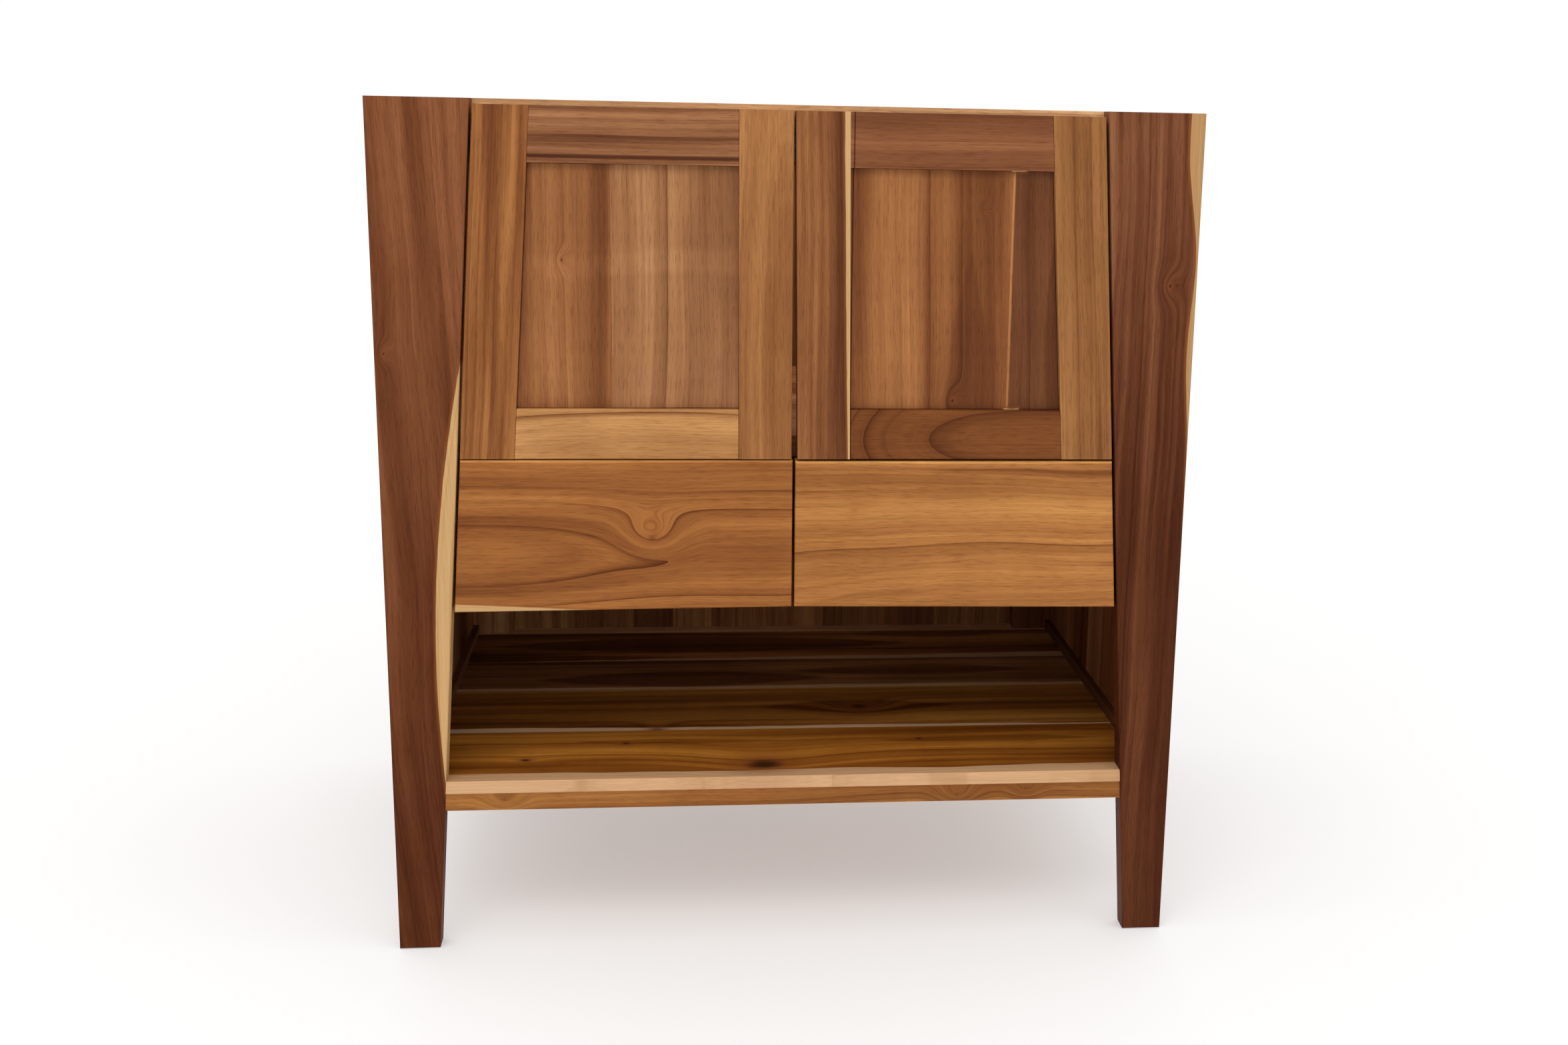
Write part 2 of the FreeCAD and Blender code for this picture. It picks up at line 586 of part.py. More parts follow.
    left_door = door_pieces(LEFT_DOOR_LOCK_X, LEFT_DOOR_LOCK_X, LEFT_PANEL_SEAM_X)
    right_door = door_pieces(-RIGHT_DOOR_LOCK_TOP_X, -RIGHT_DOOR_LOCK_BOTTOM_X, -RIGHT_PANEL_SEAM_X)
    for name in left_door:
        nodes["left_door_" + name] = left_door[name]
        nodes["right_door_" + name] = mirrored(right_door[name])
    nodes["left_door_bushes"] = group(fittings["bushes"])
    nodes["right_door_bushes"] = mirrored(group(fittings["bushes"]))

    box = drawer_box()
    box["slide_inners"] = slide_members("inner")
    box["slide_middles"] = slide_members("middle")
    box["slide_outers"] = slide_members("outer")
    for name, shape in box.items():
        nodes["left_drawer_" + name] = shape
        nodes["right_drawer_" + name] = mirrored(shape)
    nodes["left_drawer_front"] = drawer_front(LEFT_DRAWER_EDGE_X, 0)
    nodes["right_drawer_front"] = mirrored(drawer_front(-RIGHT_DRAWER_EDGE_X, RIGHT_DRAWER_DROP))
    return nodes


os.makedirs("parts", exist_ok=True)
for node_name, node_shape in build().items():
    node_shape.exportStep("parts/%s.step" % node_name)
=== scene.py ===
import bpy
import math
from collections import namedtuple
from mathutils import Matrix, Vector


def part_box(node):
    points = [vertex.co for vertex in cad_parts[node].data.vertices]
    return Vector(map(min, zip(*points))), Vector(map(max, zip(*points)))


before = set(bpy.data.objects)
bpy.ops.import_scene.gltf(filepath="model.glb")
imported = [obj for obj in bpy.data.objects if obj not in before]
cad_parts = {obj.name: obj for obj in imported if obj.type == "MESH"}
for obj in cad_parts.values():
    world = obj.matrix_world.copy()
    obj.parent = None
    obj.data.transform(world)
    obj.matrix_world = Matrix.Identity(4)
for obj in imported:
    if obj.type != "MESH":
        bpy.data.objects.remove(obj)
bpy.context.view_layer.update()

MM = 0.001

# Places and sizes of the cabinet, in metres
FRONT_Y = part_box("left_front_leg")[0][1]
HALF_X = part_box("right_front_leg")[1][0]
DOOR_BOTTOM_Z, DOOR_TOP_Z = (corner[2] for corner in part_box("left_door_lock_stile"))
CABINET_HEIGHT = 813.0
LEG_TOP_WIDTH = 92.0
LEG_FOOT_WIDTH = 39.0
FRONT_LEG_SLOPE = (LEG_TOP_WIDTH - LEG_FOOT_WIDTH) / CABINET_HEIGHT
DOOR_SIDE_GAP = 2.6
HINGE_STILE_WIDTH = 49.5
HINGE_JOINT = HALF_X - (LEG_FOOT_WIDTH + DOOR_SIDE_GAP + HINGE_STILE_WIDTH) * MM
LOW_JOINT_Z = DOOR_BOTTOM_Z + 47.0 * MM
HIGH_JOINT_Z = DOOR_TOP_Z - 50.0 * MM
SIDE_PLANKS = 7
BACK_SEAMS_X = [-0.240, -0.166, -0.117, -0.069, 0.0, 0.072, 0.140, 0.215, 0.268]
FLOOR_SEAMS_DEPTH_MM = [140, 220, 296, 375, 452]
LEFT_PANEL_SEAM_X = -0.167
RIGHT_PANEL_SEAM_X = 0.2055

# Camera, surroundings and lights
CAMERA_PLACE = (-0.0985, -1.980, 0.8015)
CAMERA_TURN_DEG = (76.78, -1.156, -6.164)
CAMERA_LENS_MM = 42.07
CAMERA_SHIFT = (-0.0668, 0.0176)
FLOOR_SIZE = 14.0
FLOOR_DROP = 0.5 * MM
# The floor glows faintly although it is no lamp. This is painted light that pales the shadow under the
# cabinet.
FLOOR_GLOW = 0.32
FLOOR_TONES = ((0.955, 0.955, 0.95), (0.975, 0.975, 0.97))
FLOOR_MOTTLE = 3.0
FLOOR_ROUGHNESS = 0.85
AMBIENT_LIGHT = 1.0
BACKDROP_LIGHT = 1.0
# name, place, target, size, power and colour
LIGHTS = [
    ("key", (-0.45, -1.9, 2.25), (0.0, -0.28, 0.55), (1.9, 1.0), 16.0, (1.0, 0.98, 0.95)),
    ("fill", (1.9, -1.9, 1.3), (0.0, 0.0, 0.45), (1.5, 1.5), 3.0, (0.97, 0.98, 1.0)),
]

EDGE_EASE = 0.5 * MM
EDGE_ANGLE_DEG = 50
WHITE = (1.0, 1.0, 1.0)


# Shader fields: numbers and colours over a surface, with plain arithmetic

class Field:
    """A shader socket that carries one number or colour at each point."""

    def __init__(self, graph, socket):
        self.graph = graph
        self.socket = socket

    def __add__(self, other):
        return self.graph.math("ADD", self, other)

    def __sub__(self, other):
        return self.graph.math("SUBTRACT", self, other)

    def __rsub__(self, other):
        return self.graph.math("SUBTRACT", other, self)

    def __mul__(self, other):
        return self.graph.math("MULTIPLY", self, other)

    __radd__ = __add__
    __rmul__ = __mul__

    def power(self, exponent):
        return self.graph.math("POWER", self, exponent)

    def absolute(self):
        return self.graph.math("ABSOLUTE", self)

    def bell(self, width):
        """1 where this squared distance is 0, falling off over a width."""
        return self.graph.math("EXPONENT", self * (-1.0 / width ** 2))

    def step(self, low, high):
        """0 below low, 1 above high and smooth between."""
        return self.graph.remap(self, low, high, 0.0, 1.0, "SMOOTHSTEP")


class Graph:
    """The node tree of one material."""

    def __init__(self, name):
        self.material = bpy.data.materials.new(name)
        self.material.use_nodes = True
        self.tree = self.material.node_tree
        self.shader = self.tree.nodes["Principled BSDF"]

    def node(self, kind, **settings):
        made = self.tree.nodes.new(kind)
        for key, value in settings.items():
            setattr(made, key, value)
        return made

    def feed(self, socket, value):
        """Link a field, or set a plain number or colour."""
        if isinstance(value, Field):
            self.tree.links.new(value.socket, socket)
        else:
            socket.default_value = value

    def set_shader(self, **values):
        """Feed the surface shader's inputs, with underscores for the spaces in their names."""
        for key, value in values.items():
            self.feed(self.shader.inputs[key.replace("_", " ")], value)

    def math(self, operation, a, b=0.0):
        made = self.node("ShaderNodeMath", operation=operation)
        self.feed(made.inputs[0], a)
        self.feed(made.inputs[1], b)
        return Field(self, made.outputs[0])

    def remap(self, value, low, high, to_low, to_high, interpolation="LINEAR"):
        made = self.node("ShaderNodeMapRange", interpolation_type=interpolation, clamp=True)
        for index, part in enumerate((value, low, high, to_low, to_high)):
            self.feed(made.inputs[index], part)
        return Field(self, made.outputs[0])

    def place(self):
        """The X, Y and Z of the point, in metres, fixed to its piece."""
        coords = self.node("ShaderNodeTexCoord")
        split = self.node("ShaderNodeSeparateXYZ")
        self.tree.links.new(coords.outputs["Object"], split.inputs[0])
        return dict(zip("xyz", (Field(self, socket) for socket in split.outputs)))

    def noise(self, x, y, z, detail=3.0, roughness=0.55):
        """Fractal noise from 0 to 1 at a place given in cells."""
        join = self.node("ShaderNodeCombineXYZ")
        for socket, value in zip(join.inputs, (x, y, z)):
            self.feed(socket, value)
        made = self.node("ShaderNodeTexNoise", noise_dimensions="3D")
        self.tree.links.new(join.outputs[0], made.inputs["Vector"])
        made.inputs["Scale"].default_value = 1.0
        made.inputs["Detail"].default_value = detail
        made.inputs["Roughness"].default_value = roughness
        return Field(self, made.outputs[0])

    def chance(self, index):
        """Three random numbers from a whole number."""
        made = self.node("ShaderNodeTexWhiteNoise", noise_dimensions="1D")
        self.feed(made.inputs["W"], index)
        split = self.node("ShaderNodeSeparateColor")
        self.tree.links.new(made.outputs["Color"], split.inputs[0])
        return [Field(self, socket) for socket in split.outputs]

    def mix(self, factor, a, b, blend="MIX"):
        """Blend two colours."""
        made = self.node("ShaderNodeMix", data_type="RGBA", blend_type=blend)
        self.feed(made.inputs["Factor"], factor)
        self.feed(made.inputs["A"], a)
        self.feed(made.inputs["B"], b)
        return Field(self, made.outputs["Result"])

    def scaled(self, colour, factor):
        """A colour made lighter or darker by a field."""
        made = self.node("ShaderNodeVectorMath", operation="SCALE")
        self.tree.links.new(colour.socket, made.inputs[0])
        self.feed(made.inputs["Scale"], factor)
        return Field(self, made.outputs[0])

    def toned(self, tone, value):
        """A wood colour made lighter or darker, which grows paler or redder with it as wood does."""
        made = self.node("ShaderNodeCombineColor")
        parts = (value, value.power(GREEN_POWER), value.power(BLUE_POWER))
        for socket, part, amount in zip(made.inputs, parts, tone):
            self.feed(socket, part * amount)
        return Field(self, made.outputs[0])

    def bump(self, height, distance, strength):
        made = self.node("ShaderNodeBump")
        made.inputs["Strength"].default_value = strength
        made.inputs["Distance"].default_value = distance
        self.feed(made.inputs["Height"], height)
        self.tree.links.new(made.outputs[0], self.shader.inputs["Normal"])


def rgba(colour, scale=1.0):
    return tuple(part * scale for part in colour) + (1.0,)


# Teak

SAPWOOD = (0.50, 0.30, 0.13)
SAPWOOD_LINE = (0.36, 0.18, 0.065)
SAPWOOD_RIM = (0.24, 0.070, 0.018)
SHELF_SAPWOOD = (0.66, 0.45, 0.28)
SAPWOOD_LIFT = 1.06
KNOT = (0.030, 0.010, 0.004)
KNOT_HALO = (0.210, 0.052, 0.013)
WARM_BOARD = (1.04, 0.98, 0.92)
COOL_BOARD = (0.97, 1.01, 1.06)
GREEN_POWER = 1.32
BLUE_POWER = 1.52

# Noise layers: cells to the metre, or to the growth ring, across and along the grain
Layer = namedtuple("Layer", "across along detail roughness")
WANDER = Layer(7.0, 2.1, 2.0, 0.55)
ZONES = Layer(11.0, 1.3, 2.0, 0.55)
BROAD = Layer(0.17, 0.9, 3.0, 0.5)
STREAKS = Layer(0.85, 1.1, 4.0, 0.6)
VEINS = Layer(0.45, 0.8, 3.0, 0.55)
FIBRES = Layer(520.0, 5.0, 3.0, 0.66)
PORES = Layer(1250.0, 60.0, 1.0, 0.5)
SHIMMER = Layer(16.0, 20.0, 2.0, 0.5)
SAP_RAGGED = Layer(90.0, 14.0, 3.0, 0.55)
SAP_LAYERS = Layer(380.0, 2.0, 2.0, 0.55)
ZONES_THROUGH = 8.0

# Where each layer begins and ends to show
ZONE_STEP = (0.38, 0.62)
RING_LUCK_STEP = (0.30, 1.0)
VEIN_STEP = (0.63, 0.72)
PORE_STEP = (0.56, 0.68)
BROAD_SPAN = (0.32, 0.68)
NOISE_SPAN = (0.30, 0.70)
SAP_FIBRE_SPAN = (0.28, 0.72)
SAP_STREAK_STEP = (0.5, 0.8)
SAP_LAYER_STEP = (0.50, 0.66)
SAP_EDGE_STEP = (-0.4 * MM, 0.6 * MM)
KNOT_HEART_STEP = (0.60, 0.95)
FLAME_STEP = (0.80, 1.10)

# How strongly each layer shows
BROAD_DEPTH = 0.42
STREAK_DEPTH = 0.30
LATE_DEPTH = 0.45
VEIN_DEPTH = 0.42
PORE_DEPTH = 0.18
FIBRE_TONES = (0.88, 1.11)
SAP_FIBRE_TONES = (0.88, 1.10)
SHIMMER_TONES = (0.95, 1.05)
RIM_DEPTH = 0.55
SAP_LATE, SAP_STREAK, SAP_LAYER = 0.4, 0.3, 0.42

SEED_STEP = 7.31
LUCK_STEP = 9.0
STREAK_OFFSET, VEIN_OFFSET = 4.0, 8.0
WANDER_SIZE = 0.022
LATE_SHARPNESS = 4.0
KNOT_ALONG = 0.75
KNOT_REACH = 1.9
PITH_LIFT = 0.012
FLAME_WANDER = 0.02
RAGGED_SIZE = 2.0 * MM
RIM_DEPTH_AT = 1.0 * MM
RIM_WIDTH = 1.1 * MM
ROUGH_SPAN = (0.3, 1.3)
ROUGH_BELOW, ROUGH_ABOVE = 0.06, 0.14
FIBRE_RELIEF, PORE_RELIEF, LATE_RELIEF = 0.6, 0.9, 0.4
GRAIN_RELIEF = 0.12 * MM
GRAIN_BUMP = 0.8


class Board:
    """What one board, or one row of boards, looks like. Places are in metres in the cabinet's frame."""

    seed = 0.0        # picks the pattern
    ring = 110.0      # growth rings to the metre
    slope = 0.0       # how far the grain leans across
    wander = 1.0      # how much the grain wanders
    pith = None       # place across the grain that arched figure closes on
    arch = 0.0        # how fast arched figure opens
    arch_at = 0.0     # place along the grain where it begins
    cap = 0.5         # how far it opens
    contrast = 1.0    # strength of tone zones and streaks
    line = 1.0        # strength of the growth lines
    vein = 1.0        # strength of the dark veins
    seams = ()        # places of glued seams, which part the pattern
    seam_axis = None
    variety = 0.0     # how much the boards of a row differ
    tint = None       # axis, place and colour beyond it
    # fade is painted shade: the tone darkens towards one end of the grain, where less light falls
    fade = None       # from and to along the grain, and tone at the first
    bands = ()        # axis, centre, half width, blur and tone
    flames = ()       # along, across, half length, half width and tone
    knots = ()        # along, across and size
    knot = 0.8        # strength of the knots' colour
    core = 0.42       # size of the dark heart against the knot
    swirl = 2.4       # how far rings bend round a knot
    sap = None        # rule that gives the depth into the sapwood
    sap_tone = SAPWOOD
    gloss = 0.5
    sheen = 0.10

    def __init__(self, tone, grain="z", across="x", **looks):
        self.tone = tone
        self.grain = grain
        self.across = across
        for key, value in looks.items():
            assert hasattr(self, key), key
            setattr(self, key, value)


def part_pattern(g, place, board):
    """The pattern's offset, and the three random numbers of each board between seams."""
    shift = board.seed * SEED_STEP
    if not board.seams:
        return shift, None
    index = 0.0
    for seam in board.seams:
        index = g.math("GREATER_THAN", place[board.seam_axis], seam) + index
    luck = g.chance(index + board.seed)
    return luck[0] * LUCK_STEP + shift, luck


def bend_round_knots(g, board, along, across, bent, wander):
    """Rings bent round the knots, and the closeness to a knot's heart."""
    core = None
    for knot_along, knot_across, size in board.knots:
        off_along = (along - knot_along) * KNOT_ALONG + wander * size
        off_across = across - knot_across - wander * size
        near = off_along * off_along + off_across * off_across
        bent = bent + near.bell(KNOT_REACH * size) * (board.swirl * size)
        dot = near.bell(board.core * size)
        core = dot if core is None else g.math("MAXIMUM", core, dot)
    return bent, core


def arched(g, board, along, bent):
    """Growth that closes round the pith in arches, or runs straight."""
    if board.pith is None:
        return bent
    drift = along - board.arch_at
    rise = g.math("TANH", drift * drift * (board.arch / board.cap)) * board.cap
    lift = rise + PITH_LIFT
    off = bent - board.pith
    return g.math("SQRT", off * off + lift * lift)


def placed_tones(g, board, place, along, across, wander, value):
    """Bands, flames and fades that the board has at given places. The fades are painted shade, darker
    towards one end, and the arris bands are painted highlights.
    """
    for axis, centre, half_width, blur, tone in board.bands:
        edge = (wander * (2.0 * blur)) + place[axis] - centre
        inside = 1.0 - edge.absolute().step(half_width, half_width + blur)
        value = value * (inside * (tone - 1.0) + 1.0)
    for flame_along, flame_across, half_length, half_width, tone in board.flames:
        off_along = (along - flame_along) * (1.0 / half_length)
        off_across = (wander * FLAME_WANDER + across - flame_across) * (1.0 / half_width)
        reach = off_across.absolute() + off_along * off_along
        value = value * ((1.0 - reach.step(*FLAME_STEP)) * (tone - 1.0) + 1.0)
    # Painted shade: darker towards the low end of the fade
    if board.fade is not None:
        low, high, tone = board.fade
        value = value * g.remap(along, low, high, tone, 1.0)
    return value


def teak(name, board):
    """Oiled teak with soft tone zones, growth lines, open pores, knots and sapwood."""
    g = Graph(name)
    place = g.place()
    place["lean"] = place["x"].absolute() + place["z"] * FRONT_LEG_SLOPE
    through_axis = next(axis for axis in "xyz" if axis not in (board.grain, board.across))
    along, true_across, through = (place[axis] for axis in (board.grain, board.across, through_axis))
    across = true_across - along * board.slope if board.slope else true_across
    shift, luck = part_pattern(g, place, board)

    def layer(kind, x, y, z):
        return g.noise(x, y, z, kind.detail, kind.roughness)

    wander = layer(WANDER, along * WANDER.along + shift, across * WANDER.across,
                   through * WANDER.across + shift) - 0.5
    bent = across + wander * (WANDER_SIZE * board.wander)
    bent, core = bend_round_knots(g, board, along, true_across, bent, wander)
    rings = arched(g, board, along, bent) * board.ring + shift

    zone = layer(ZONES, bent * ZONES.across + shift, along * ZONES.along, through * ZONES_THROUGH)
    ring_luck = g.chance(g.math("FLOOR", rings))[0].step(*RING_LUCK_STEP)
    late = g.math("FRACT", rings).power(LATE_SHARPNESS) * ring_luck * zone.step(*ZONE_STEP)
    broad = layer(BROAD, rings * BROAD.across + shift, along * BROAD.along, shift)
    streaks = layer(STREAKS, rings * STREAKS.across + shift, along * STREAKS.along, shift + STREAK_OFFSET)
    vein = layer(VEINS, rings * VEINS.across - shift, along * VEINS.along, shift + VEIN_OFFSET)
    fibre = layer(FIBRES, bent * FIBRES.across, along * FIBRES.along + shift, through * FIBRES.across)
    pores = layer(PORES, bent * PORES.across + shift, along * PORES.along, through * PORES.across)
    pores = pores.step(*PORE_STEP)
    shimmer = layer(SHIMMER, bent * SHIMMER.across, along * SHIMMER.along + shift, through * SHIMMER.across)

    soft = BROAD_DEPTH * board.contrast
    fine = STREAK_DEPTH * board.contrast
    value = g.remap(broad, *BROAD_SPAN, 1.0 - soft, 1.0 + soft)
    value = value * g.remap(streaks, *NOISE_SPAN, 1.0 - fine, 1.0 + fine)
    value = value * (1.0 - late * (LATE_DEPTH * board.line))
    value = value * (1.0 - vein.step(*VEIN_STEP) * (VEIN_DEPTH * board.vein))
    value = value * g.remap(fibre, *NOISE_SPAN, *FIBRE_TONES)
    value = value * (1.0 - pores * PORE_DEPTH)
    value = value * g.remap(shimmer, *NOISE_SPAN, *SHIMMER_TONES)
    value = placed_tones(g, board, place, along, true_across, wander, value)
    if luck is not None and board.variety:
        value = value * g.remap(luck[1], 0.0, 1.0, 1.0 - board.variety, 1.0 + board.variety)

    body = g.toned(board.tone, value)
    if board.tint is not None:
        axis, begins, colour = board.tint
        beyond = g.math("GREATER_THAN", place[axis], begins)
        body = g.mix(1.0, body, g.mix(beyond, rgba(WHITE), rgba(colour)), "MULTIPLY")
    if luck is not None and board.variety:
        body = g.mix(1.0, body, g.mix(luck[2], rgba(WARM_BOARD), rgba(COOL_BOARD)), "MULTIPLY")
    if board.sap is not None:
        ragged = layer(SAP_RAGGED, along * SAP_RAGGED.along + shift, across * SAP_RAGGED.across, 1.0) - 0.5
        depth = board.sap(g, place) + ragged * RAGGED_SIZE
        layers = layer(SAP_LAYERS, depth * SAP_LAYERS.across, along * SAP_LAYERS.along, shift)
        lines = g.math("MAXIMUM", late * SAP_LATE + streaks.step(*SAP_STREAK_STEP) * SAP_STREAK,
                       layers.step(*SAP_LAYER_STEP) * SAP_LAYER)
        sapwood = g.mix(lines, rgba(board.sap_tone, SAPWOOD_LIFT), rgba(SAPWOOD_LINE))
        sapwood = g.scaled(sapwood, g.remap(fibre, *SAP_FIBRE_SPAN, *SAP_FIBRE_TONES))
        from_rim = depth + RIM_DEPTH_AT
        body = g.mix((from_rim * from_rim).bell(RIM_WIDTH) * RIM_DEPTH, body, rgba(SAPWOOD_RIM))
        body = g.mix(depth.step(*SAP_EDGE_STEP), body, sapwood)
    if core is not None:
        heart = g.mix(core.step(*KNOT_HEART_STEP), rgba(KNOT_HALO), rgba(KNOT))
        body = g.mix(core * board.knot, body, heart)

    roughness = g.remap(late + fibre, *ROUGH_SPAN, board.gloss - ROUGH_BELOW, board.gloss + ROUGH_ABOVE)
    g.set_shader(Base_Color=body, Roughness=roughness, Specular_IOR_Level=board.sheen)
    g.bump(fibre * FIBRE_RELIEF - pores * PORE_RELIEF - late * LATE_RELIEF, GRAIN_RELIEF, GRAIN_BUMP)
    return g.material


# Metal and plywood

STEEL_TONES = (0.93, 1.07)
PLY_TONES = ((0.52, 0.37, 0.21), (0.38, 0.25, 0.13))
PLY_FLECK_TONES = (0.9, 1.08)


def steel(name, tone, rough):
    """Plated steel with fine drawing lines, faint stains and duller handled areas."""
    g = Graph(name)
    place = g.place()
    lines = g.noise(place["x"] * 300.0, place["y"] * 60.0, place["z"] * 2600.0)
    stain = g.noise(place["x"] * 40.0, place["y"] * 40.0, place["z"] * 40.0, 4.0)
    body = g.mix(stain.step(0.35, 0.75), rgba(tone), rgba(tone, 0.72))
    g.set_shader(Base_Color=g.scaled(body, g.remap(lines, *NOISE_SPAN, *STEEL_TONES)), Metallic=1.0,
                 Roughness=g.remap(stain + lines * 0.4, 0.4, 1.1, rough, rough + 0.18))
    g.bump(lines, 0.03 * MM, 0.5)
    return g.material


def plywood(name):
    """Sanded plywood: pale face veneer with soft figure."""
    g = Graph(name)
    place = g.place()
    figure = g.noise(place["x"] * 40.0, place["y"] * 4.0, place["z"] * 300.0, 4.0)
    flecks = g.noise(place["x"] * 900.0, place["y"] * 60.0, place["z"] * 900.0, 2.0)
    body = g.mix(figure.step(0.35, 0.7), *(rgba(tone) for tone in PLY_TONES))
    g.set_shader(Base_Color=g.scaled(body, g.remap(flecks, *NOISE_SPAN, *PLY_FLECK_TONES)),
                 Roughness=g.remap(figure, *NOISE_SPAN, 0.55, 0.7))
    g.bump(flecks, 0.08 * MM, 0.5)
    return g.material


# Sapwood edges: each rule gives the depth into the pale wood as a field

def left_leg_sap(g, place):
    """A long lens on the inner edge of the left leg."""
    centre_z, half_height, widest = 0.372, 0.205, 15.0 * MM
    share = (place["z"] - centre_z) * (1.0 / half_height)
    inner_edge = (HALF_X - LEG_FOOT_WIDTH * MM) - place["z"] * FRONT_LEG_SLOPE
    return (1.0 - share * share) * widest - (place["x"].absolute() - inner_edge)


def right_leg_sap(g, place):
    """A strip on the outer edge of the right leg, wide at the top, with a bulge below."""
    z = place["z"]
    bulge_z, bulge_spread, bulge_width = 0.590, 0.060, 4.6 * MM
    upper = g.remap(z, 0.655, 0.80, 1.5 * MM, 14.0 * MM, "SMOOTHERSTEP")
    from_bulge = z - bulge_z
    bulge = (from_bulge * from_bulge).bell(bulge_spread) * bulge_width
    fade = g.remap(z, 0.40, 0.56, -3.0 * MM, 0.0)
    return upper + bulge + fade - (HALF_X - place["x"])


def right_lock_sap(g, place):
    """A strip down the inner edge of the right door's lock stile."""
    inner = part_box("right_door_top_rail")[0][0]
    width = g.remap(place["z"], DOOR_BOTTOM_Z, DOOR_TOP_Z, 1.6 * MM, 5.6 * MM)
    edge = g.remap(place["z"], DOOR_BOTTOM_Z, DOOR_TOP_Z, inner + 3.4 * MM, inner)
    return width - (edge - place["x"])


def left_drawer_sap(g, place):
    """A sliver along the lower edge of the left drawer front, at its left."""
    low_x, _, low_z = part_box("left_drawer_front")[0]
    rise = g.remap(place["x"], low_x, low_x + 0.15, 8.0 * MM, 0.5 * MM)
    return rise - (place["z"] - low_z)


def panel_filler_sap(g, place):
    """Two small pale slips at the ends of the right panel's seam."""
    slip_x, half_width, length = 0.2085, 7.0 * MM, 1.1 * MM
    middle = (HIGH_JOINT_Z + LOW_JOINT_Z) / 2
    half_height = (HIGH_JOINT_Z - LOW_JOINT_Z) / 2
    from_seam = (place["x"] - slip_x).absolute()
    from_middle = (place["z"] - middle).absolute()
    return g.math("MINIMUM", half_width - from_seam, from_middle - (half_height - length))


def shelf_front_sap(g, place):
    """The pale front edge of the shelf, of wandering width."""
    width = g.noise(place["x"] * 5.0, 3.0, 0.0, 2.0) * (22.0 * MM) + (9.0 * MM)
    return width - (place["y"] - FRONT_Y)


def shelf_seam_sap(node, width, skew):
    """Pale wood along the front edge of a shelf board."""
    def depth(g, place):
        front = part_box(node)[0][1]
        flow = (g.noise(place["x"] * 5.0, width * 900.0, 0.0) - 0.5) * (14.0 * MM) + width
        return place["x"] * skew + flow - (place["y"] - front)
    return depth


# Every wooden node's look

# Half width, blur and tone of two narrow bands: a dark joint line, and a painted highlight along a lit
# upper edge
JOINT_LINE = (0.25 * MM, 0.7 * MM, 0.30)
ARRIS_HIGHLIGHT = (1.7 * MM, 0.5 * MM, 1.45)


def crack(axis, at):
    """A fine dark joint line."""
    return (axis, at, *JOINT_LINE)


def painted_arris_highlight(node):
    """A painted highlight along the upper edge of a front, where light catches the eased arris."""
    return ("z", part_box(node)[1][2], *ARRIS_HIGHLIGHT)


def door_boards():
    """Stiles, rails and panels of the two doors."""
    left_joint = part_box("left_door_lock_stile")[0][0]
    right_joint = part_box("right_door_lock_stile")[1][0]
    left_ends = [crack("x", left_joint), crack("lean", HINGE_JOINT)]
    right_ends = [crack("x", right_joint), crack("lean", HINGE_JOINT)]
    top_bottom = [crack("z", LOW_JOINT_Z), crack("z", HIGH_JOINT_Z)]
    return {
        "left_door_hinge_stile": Board(
            (0.385, 0.160, 0.048), seed=5, slope=0.065, ring=130, contrast=1.3,
            bands=[("x", -0.2725, 0.004, 0.004, 0.80)]),
        "left_door_lock_stile": Board(
            (0.375, 0.165, 0.054), seed=6, ring=110, pith=-0.004, arch=0.35, arch_at=0.56, contrast=0.75,
            line=1.9),
        "left_door_top_rail": Board(
            (0.230, 0.092, 0.036), "x", "z", seed=7, ring=150, contrast=1.5, line=1.3, vein=1.4,
            bands=left_ends + [("z", 0.7635, 0.0006, 0.0022, 0.30)]),
        "left_door_bottom_rail": Board(
            (0.435, 0.208, 0.071), "x", "z", seed=8, ring=120, pith=0.495, arch=0.5, arch_at=-0.12,
            contrast=0.6, line=1.6, bands=left_ends),
        "left_door_panel_boards": Board(
            (0.258, 0.097, 0.032), seed=9, ring=75, contrast=0.95,
            tint=("x", LEFT_PANEL_SEAM_X, (0.97, 1.07, 1.24)), seams=[LEFT_PANEL_SEAM_X], seam_axis="x",
            knots=[(0.672, -0.212, 0.004)],
            bands=left_ends + top_bottom + [("x", -0.267, 0.100, 0.0004, 0.88),
            ("x", -0.178, 0.004, 0.010, 0.72), ("z", 0.667, 0.005, 0.010, 1.12)]),
        "right_door_lock_stile": Board(
            (0.210, 0.076, 0.024), seed=10, ring=120, contrast=1.35, sap=right_lock_sap),
        "right_door_top_rail": Board(
            (0.195, 0.068, 0.025), "x", "z", seed=11, ring=90, pith=0.83, arch=0.35, arch_at=0.16,
            contrast=0.8, line=1.3, bands=right_ends),
        "right_door_bottom_rail": Board(
            (0.134, 0.039, 0.0085), "x", "z", seed=12, ring=110, pith=0.505, arch=1.6, arch_at=0.235,
            contrast=0.9, line=1.6, bands=right_ends),
        "right_door_hinge_stile": Board(
            (0.242, 0.097, 0.029), seed=13, slope=-0.065, ring=120, contrast=0.8),
        "right_door_panel_boards": Board(
            (0.268, 0.100, 0.031), seed=14, ring=70, contrast=0.9, slope=-0.03,
            tint=("x", RIGHT_PANEL_SEAM_X, (1.06, 1.22, 1.50)), seams=[RIGHT_PANEL_SEAM_X], seam_axis="x",
            sap=panel_filler_sap, knots=[(0.543, 0.152, 0.006), (0.722, 0.178, 0.003)],
            flames=[(0.555, 0.164, 0.130, 0.018, 0.82), (0.600, 0.250, 0.120, 0.011, 0.72)],
            bands=right_ends + top_bottom + [("x", 0.170, 0.014, 0.030, 0.70),
            ("x", 0.256, 0.050, 0.0004, 0.62), ("x", 0.2042, 0.7 * MM, 0.6 * MM, 1.6)]),
    }


